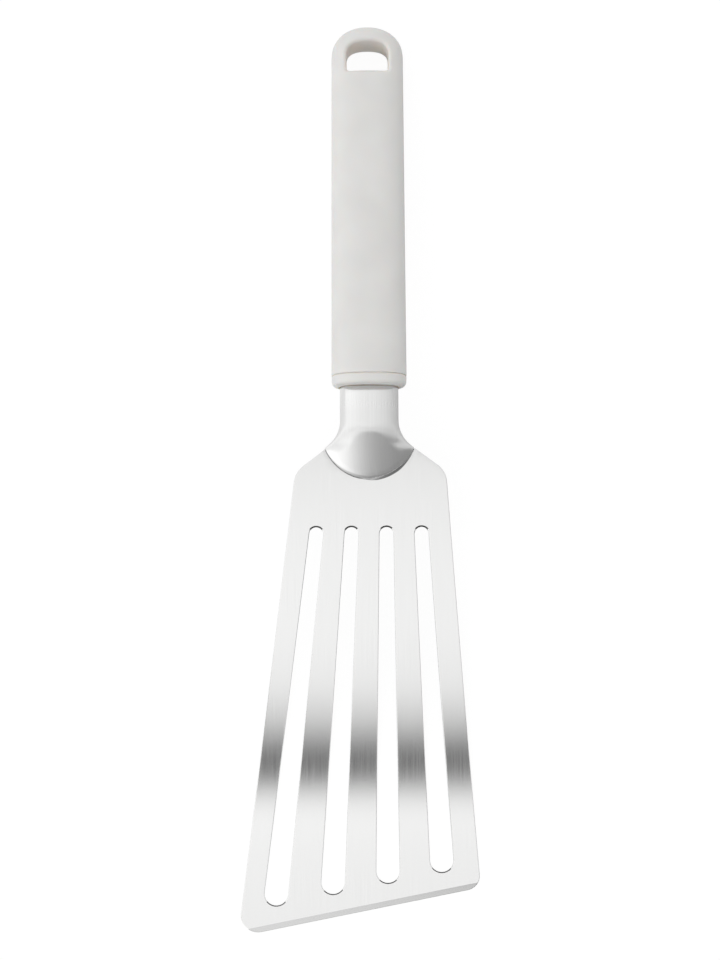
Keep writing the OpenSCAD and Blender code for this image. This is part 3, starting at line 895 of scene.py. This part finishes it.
def net(field, xs, ys, zs):
    """A quad mesh on the field's zero surface: each crossed cell has one point, settled on it."""
    axes = (xs, ys, zs)
    value = field(*np.meshgrid(*axes, indexing="ij"))
    inner = value < 0
    shape = tuple(len(a) - 1 for a in axes)
    total, count = np.zeros((math.prod(shape), 3)), np.zeros(math.prod(shape))
    quads = []
    for axis in range(3):
        near, far = (
            tuple(part if a == axis else slice(None) for a in range(3))
            for part in (slice(0, -1), slice(1, None)))
        at = np.argwhere(inner[near] != inner[far])
        a, b = value[near][tuple(at.T)], value[far][tuple(at.T)]
        point = np.stack([axes[i][at[:, i]] for i in range(3)], axis=1)
        point[:, axis] += a / (a - b) * (axes[axis][at[:, axis] + 1] - axes[axis][at[:, axis]])
        u, v = (axis + 1) % 3, (axis + 2) % 3
        ring = []
        for du, dv in ((0, 0), (1, 0), (1, 1), (0, 1)):
            cell = at.copy()
            cell[:, u] -= du
            cell[:, v] -= dv
            ids = np.ravel_multi_index(tuple(cell.T), shape)
            np.add.at(total, ids, point)
            np.add.at(count, ids, 1)
            ring.append(ids)
        ring = np.stack(ring, axis=1)
        ring[a >= 0] = ring[a >= 0][:, ::-1]
        quads.append(ring)
    used = np.flatnonzero(count)
    number = np.full(len(count), -1)
    number[used] = np.arange(len(used))
    points = total[used] / count[used, None]
    for _ in range(SETTLING):
        slope = slope_of(field, points)
        points -= (field(*points.T) / (slope**2).sum(axis=1))[:, None] * slope
    return points, number[np.concatenate(quads)], unit(slope_of(field, points))


def spaced(*stops):
    """Grid places through stops of (place, step after it)."""
    out = []
    for (a, step), (b, _) in zip(stops, stops[1:]):
        out += list(np.linspace(a, b, max(2, round((b - a) / step) + 1))[:-1])
    return np.array(out + [stops[-1][0]])


def build_shell(name, node, field, grid, ys, material):
    """A piece of the handle from its field."""
    x, z, step = grid
    points, quads, normals = net(
        field, np.arange(x, -x + step / 2, step), ys, np.arange(z, -z + step / 2, step))
    return make_piece(name, node, material, from_handle(points), quads,
                      normals=(normals @ TO_AXIS)[quads.ravel()])


def build_grip(material):
    """The hollow grip, finest at the groove."""
    ys = spaced(
        (COLLAR_L - 0.35, 0.1), (COLLAR_L + 0.65, 0.3), (COLLAR_L + 1.55, 0.9), (8.0, 1.8),
        (HOLLOW_L - 3, 0.7), (HANDLE_L + 1.4, 0.7),
    )
    return build_shell("grip_shell", "grip", grip_field, GRIP_GRID, ys, material)


def build_collar(material):
    """The collar, finest at its front edge and at the groove."""
    ys = spaced(
        (-0.42, 0.17), (COLLAR_R, 0.3), (COLLAR_L - 0.9, 0.1), (COLLAR_L + 0.3, 0.5),
        (COLLAR_L + SPIGOT_L + 0.9, 0.5),
    )
    return build_shell("collar_ring", "collar", collar_field, COLLAR_GRID, ys, material)


# Materials


def new_material(name):
    """A material with its node tree and its shader."""
    made = bpy.data.materials.new(name)
    made.use_nodes = True
    return made, made.node_tree, made.node_tree.nodes["Principled BSDF"]


def fill(tree, node, values):
    """Each input named gets a number, a colour or a link from a socket."""
    for key, value in values.items():
        if isinstance(value, bpy.types.NodeSocket):
            tree.links.new(value, node.inputs[key])
        else:
            node.inputs[key].default_value = value
    return node


def add(tree, kind, values=None, **settings):
    """A new node with its settings and with its inputs filled."""
    node = tree.nodes.new(kind)
    for key, value in settings.items():
        setattr(node, key, value)
    return fill(tree, node, values or {})


def calc(tree, operation, *values):
    """The result of one sum on numbers and sockets."""
    return add(tree, "ShaderNodeMath", dict(enumerate(values)), operation=operation).outputs[0]


def vector(tree, operation, *values):
    """A node of vector arithmetic on vectors and sockets."""
    return add(tree, "ShaderNodeVectorMath", dict(enumerate(values)), operation=operation)


def split(tree, source):
    """The parts of a vector."""
    return add(tree, "ShaderNodeSeparateXYZ", {0: source}).outputs


def place_on(tree):
    """The place on the object, in metres."""
    return add(tree, "ShaderNodeTexCoord").outputs["Object"]


def noise(tree, source, scale, detail=2.0):
    """Noise over a coordinate stretched by a scale for each axis."""
    stretch = add(tree, "ShaderNodeMapping", {"Vector": source, "Scale": scale})
    made = add(tree, "ShaderNodeTexNoise", {
        "Vector": stretch.outputs["Vector"], "Scale": 1.0, "Detail": detail})
    return made.outputs["Fac"]


def spread(tree, source, low, high, start=0.3, end=0.7):
    """A value's range, by default that of most noise, spread between two numbers."""
    return add(tree, "ShaderNodeMapRange", {
        "Value": source, "From Min": start, "From Max": end, "To Min": low, "To Max": high,
    }).outputs["Result"]


def mixed(tree, a, b, share, kind="FLOAT"):
    """Two values or two colours mixed by a share."""
    node = add(tree, "ShaderNodeMix", {"Factor": share, "A": a, "B": b}, data_type=kind)
    return node.outputs["Result"]


def tint(tree, source, dark, light):
    """A colour between two near tones, chosen by a noise value."""
    return mixed(tree, (*dark, 1), (*light, 1), spread(tree, source, 0, 1), "RGBA")


def bump(tree, source, depth):
    """A normal for a height that goes up to a depth in millimetres."""
    return add(tree, "ShaderNodeBump", {"Height": source, "Distance": depth * MM}).outputs["Normal"]


def from_dome(tree):
    """Distance from the dome's middle in its own plane, in millimetres, less away from its tip, which
    places the painted shade on its rim.
    """
    moved = vector(tree, "SUBTRACT", place_on(tree), tuple(in_metres(MOUTH))).outputs["Vector"]
    x, y = (
        vector(tree, "DOT_PRODUCT", moved, axis).outputs["Value"]
        for axis in ((1 / MM, 0, 0), (0, COS / MM, -SIN / MM))
    )
    front = calc(tree, "MINIMUM", calc(tree, "SUBTRACT", y, DOME_Y), 0.0)
    both = add(tree, "ShaderNodeCombineXYZ", {"X": x, "Y": front}).outputs[0]
    lean = calc(tree, "MULTIPLY_ADD", front, -PAINTED_RIM_SHADE_LEAN, -PAINTED_RIM_SHADE_LEAN * DOME_R)
    return calc(tree, "ADD", vector(tree, "LENGTH", both).outputs["Value"], lean)


def brushed_steel(name, dark, light, roughness, stretch, polish=None, rim=None):
    """Steel with fine brushing along the handle's line, which spreads reflections across it.

    Polish is the roughness towards the handle, which takes over from POLISH_FROM to POLISH_TO along
    the UVs. Rim is a darker tone painted on the wall at the dome's rim, as painted shade that is
    darkest towards the dome's tip.
    """
    made, tree, shader = new_material(name)
    uv = add(tree, "ShaderNodeUVMap", uv_map="brush").outputs["UV"]
    both = mixed(tree, noise(tree, uv, FINE_BRUSH, detail=3), noise(tree, uv, BROAD_BRUSH),
                 BROAD_SHARE)
    tone = tint(tree, both, dark, light)
    # Painted shade: the wall at the dome's rim is painted darker
    if rim:
        rim_shade_share = spread(tree, from_dome(tree), 0, 1, PAINTED_RIM_SHADE_FROM, PAINTED_RIM_SHADE_TO)
        tone = mixed(tree, tone, (*rim, 1), rim_shade_share, "RGBA")
    if polish:
        roughness = spread(tree, split(tree, uv)["Y"], roughness, polish, POLISH_FROM, POLISH_TO)
    gloss = spread(tree, both, 1 - STEEL_GLOSS, 1 + STEEL_GLOSS)
    fill(tree, shader, {
        "Base Color": tone,
        "Roughness": calc(tree, "MULTIPLY", gloss, roughness),
        "Normal": bump(tree, both, BRUSH_DEPTH),
        "Tangent": add(tree, "ShaderNodeTangent", direction_type="UV_MAP", uv_map="brush").outputs[0],
        "Metallic": 1,
        "Anisotropic": stretch,
    })
    return made


def paint_hollow_shade_tint(tree, tone):
    """A pale tone painted warmer in hollows, a painted shade tint that is strongest where half of the
    sky is hidden.
    """
    sky = add(tree, "ShaderNodeAmbientOcclusion", {"Distance": HOLLOW_SHADE_REACH * MM},
              samples=4, only_local=True).outputs["AO"]
    half_hidden = calc(tree, "MULTIPLY", sky, calc(tree, "SUBTRACT", 1.0, sky))
    return mixed(tree, HOLLOW_SHADE_TINT, tone, calc(tree, "MULTIPLY_ADD", half_hidden, -4.0, 1.0), "RGBA")


def moulded_plastic(name, dark, light, roughness, grain, grain_depth, depth=0.0):
    """Moulded plastic with a fine even grain and a faint unevenness of gloss.

    Depth is how much light goes into a pale plastic, whose hollows then get a warm painted shade tint
    too.
    """
    made, tree, shader = new_material(name)
    fine = noise(tree, place_on(tree), (1 / (grain * MM),) * 3)
    broad = noise(tree, place_on(tree), (1 / (BLOTCH * MM),) * 3, detail=1)
    tone = tint(tree, broad, dark, light)
    gloss = spread(tree, mixed(tree, fine, broad, BLOTCH_SHARE),
                   roughness - PLASTIC_GLOSS, roughness + PLASTIC_GLOSS)
    fill(tree, shader, {
        # Painted shade tint in the hollows, given only where light goes into the plastic
        "Base Color": paint_hollow_shade_tint(tree, tone) if depth else tone,
        "Roughness": gloss,
        "Normal": bump(tree, fine, grain_depth),
        "Subsurface Weight": depth,
        "Subsurface Radius": SCATTER_TONES,
        "Subsurface Scale": SCATTER_REACH * MM,
    })
    return made


def turned_steel(name, dark, light, roughness):
    """Drawn and turned pin steel with fine rings."""
    made, tree, shader = new_material(name)
    rings = noise(tree, place_on(tree), PIN_RINGS)
    fill(tree, shader, {
        "Base Color": tint(tree, rings, dark, light),
        "Roughness": spread(tree, rings, roughness * (1 - PIN_GLOSS), roughness * (1 + PIN_GLOSS)),
        "Normal": bump(tree, rings, RING_DEPTH),
        "Metallic": 1,
    })
    return made


def dress_nodes(material, *nodes):
    """The hidden CAD pieces keep their shapes and take a finished material."""
    for name in nodes:
        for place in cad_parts[name].material_slots:
            place.material = material


# Stage, light and camera


def build_floor():
    """A pale table top that the camera sees as near white, with a faint share of the shadow. Its
    colour is painted darker on the right as painted shade, and reflections see it white on the left
    and with that painted shade on the right.
    """
    mesh = bpy.data.meshes.new("floor")
    corners = [(-1, -1), (1, -1), (1, 1), (-1, 1)]
    mesh.from_pydata([(x * FLOOR_REACH, y * FLOOR_REACH, 0) for x, y in corners], [], [(0, 1, 2, 3)])
    floor = in_scene("floor", mesh)
    made = bpy.data.materials.new("floor_white")
    made.use_nodes = True
    tree = made.node_tree
    tree.nodes.clear()
    x = split(tree, place_on(tree))["X"]
    # Painted shade: the floor's colour is darker on the right and lighter on the left
    left = spread(tree, x, 0, 1, FLOOR_TURN, -FLOOR_TURN)
    tone = spread(tree, left, FLOOR_PAINTED_SHADE_RIGHT, FLOOR_PAINTED_LIGHT_LEFT, 0, 1)
    lit = add(tree, "ShaderNodeBsdfDiffuse", {"Color": tone}).outputs[0]
    faint = add(tree, "ShaderNodeBsdfDiffuse", {"Color": (SHADOW_SHARE,) * 3 + (1,)}).outputs[0]
    glow = add(tree, "ShaderNodeEmission", {"Strength": 1 - SHADOW_SHARE * FLOOR_LIGHT}).outputs[0]
    white = add(tree, "ShaderNodeAddShader", {0: faint, 1: glow}).outputs[0]
    path = add(tree, "ShaderNodeLightPath").outputs
    # Painted reflection: reflections see the floor white on the left and with its painted shade on
    # the right
    seen = calc(tree, "MULTIPLY_ADD", path["Is Glossy Ray"], left, path["Is Camera Ray"])
    both = add(tree, "ShaderNodeMixShader", {0: seen, 1: lit, 2: white}).outputs[0]
    add(tree, "ShaderNodeOutputMaterial", {"Surface": both})
    mesh.materials.append(made)


def ramp(tree, source, stops, start, end):
    """Brightness over a range of a value, as a colour ramp whose white stands for SKY_TOP."""
    share = add(tree, "ShaderNodeMapRange", {"Value": source, "From Min": start, "From Max": end})
    node = add(tree, "ShaderNodeValToRGB", {"Fac": share.outputs["Result"]})
    for _ in range(len(stops) - 2):
        node.color_ramp.elements.new(0.5)
    for stop, (place, level) in zip(node.color_ramp.elements, stops):
        stop.position = (place - start) / (end - start)
        stop.color = (level / SKY_TOP,) * 3 + (1,)
    return node.outputs["Color"]


def build_world():
    """A studio that is bright overhead and on the left, with one dark gap between its lights."""
    world = bpy.data.worlds.new("studio")
    bpy.context.scene.world = world
    world.use_nodes = True
    tree = world.node_tree
    tree.nodes.clear()
    way = split(tree, add(tree, "ShaderNodeTexCoord").outputs["Generated"])
    angle = calc(tree, "ARCTAN2", way["Y"], way["Z"])
    degrees = calc(tree, "MULTIPLY", angle, 180 / math.pi)
    side = calc(tree, "MULTIPLY_ADD", way["X"], -SKY_SIDE * SKY_TOP, SKY_TOP)
    front = calc(tree, "MULTIPLY", ramp(tree, way["X"], FRONT, -1, 1), SKY_TOP**2)
    in_front = add(tree, "ShaderNodeMapRange", {
        "Value": angle, "From Min": FRONT_FROM, "From Max": FRONT_TO,
    }, interpolation_type="SMOOTHSTEP").outputs["Result"]
    scale = mixed(tree, side, front, in_front)
    level = calc(tree, "MULTIPLY", ramp(tree, degrees, SKY, -90, 90), scale)
    seen = add(tree, "ShaderNodeLightPath").outputs["Is Camera Ray"]
    light = add(tree, "ShaderNodeBackground", {
        "Color": (1, 1, 1, 1), "Strength": mixed(tree, level, 1.0, seen)})
    add(tree, "ShaderNodeOutputWorld", {"Surface": light.outputs[0]})


def build_camera():
    """Straight overhead, as the photograph was taken."""
    lens = bpy.data.cameras.new("camera")
    lens.lens = LENS
    lens.sensor_width = FILM
    lens.clip_start, lens.clip_end = CLIP_NEAR, CLIP_FAR
    camera = in_scene("camera", lens)
    camera.location = [v * MM for v in CAMERA_AT]
    camera.rotation_euler = (0, 0, CAMERA_ROLL)
    bpy.context.scene.camera = camera


build_camera()
build_world()
build_floor()
bpy.context.scene.view_settings.view_transform = "Standard"

build_blade(
    brushed_steel("blade_brushed", (0.74, 0.74, 0.736), (0.79, 0.79, 0.786),
                  roughness=0.16, stretch=0.97),
    # Near-black steel painted on the slots' ends as painted shade
    brushed_steel("blade_slot_end_painted_shade", (0.06, 0.06, 0.06), (0.10, 0.10, 0.10),
                  roughness=0.38, stretch=0.2),
    brushed_steel("blade_ground", (0.63, 0.63, 0.627), (0.68, 0.68, 0.677),
                  roughness=0.2, stretch=0.9),
)
build_neck(
    # The neck's steel, with painted shade on the wall at the dome's rim
    brushed_steel("neck_brushed", (0.70, 0.70, 0.696), (0.76, 0.76, 0.756),
                  roughness=0.36, stretch=0.3, polish=0.15, rim=(0.5, 0.5, 0.498)),
    # A darker copy of the neck's steel on the fillet at the dome's foot: painted shade
    brushed_steel("neck_fillet_painted_shade", (0.62, 0.62, 0.617), (0.67, 0.67, 0.667),
                  roughness=0.36, stretch=0.3, polish=0.15),
)
off_white = moulded_plastic("off_white_plastic", (0.68, 0.675, 0.66), (0.71, 0.705, 0.69),
                            roughness=0.42, grain=0.25, grain_depth=0.01, depth=0.25)
build_collar(off_white)
build_grip(off_white)
dress_nodes(
    moulded_plastic("grey_nylon", (0.25, 0.25, 0.26), (0.30, 0.30, 0.31),
                    roughness=0.5, grain=0.4, grain_depth=0.02),
    "insert_upper", "insert_lower",
)
dress_nodes(
    turned_steel("pin_turned", (0.52, 0.52, 0.52), (0.62, 0.62, 0.62), roughness=0.3),
    "pin_front", "pin_rear",
)
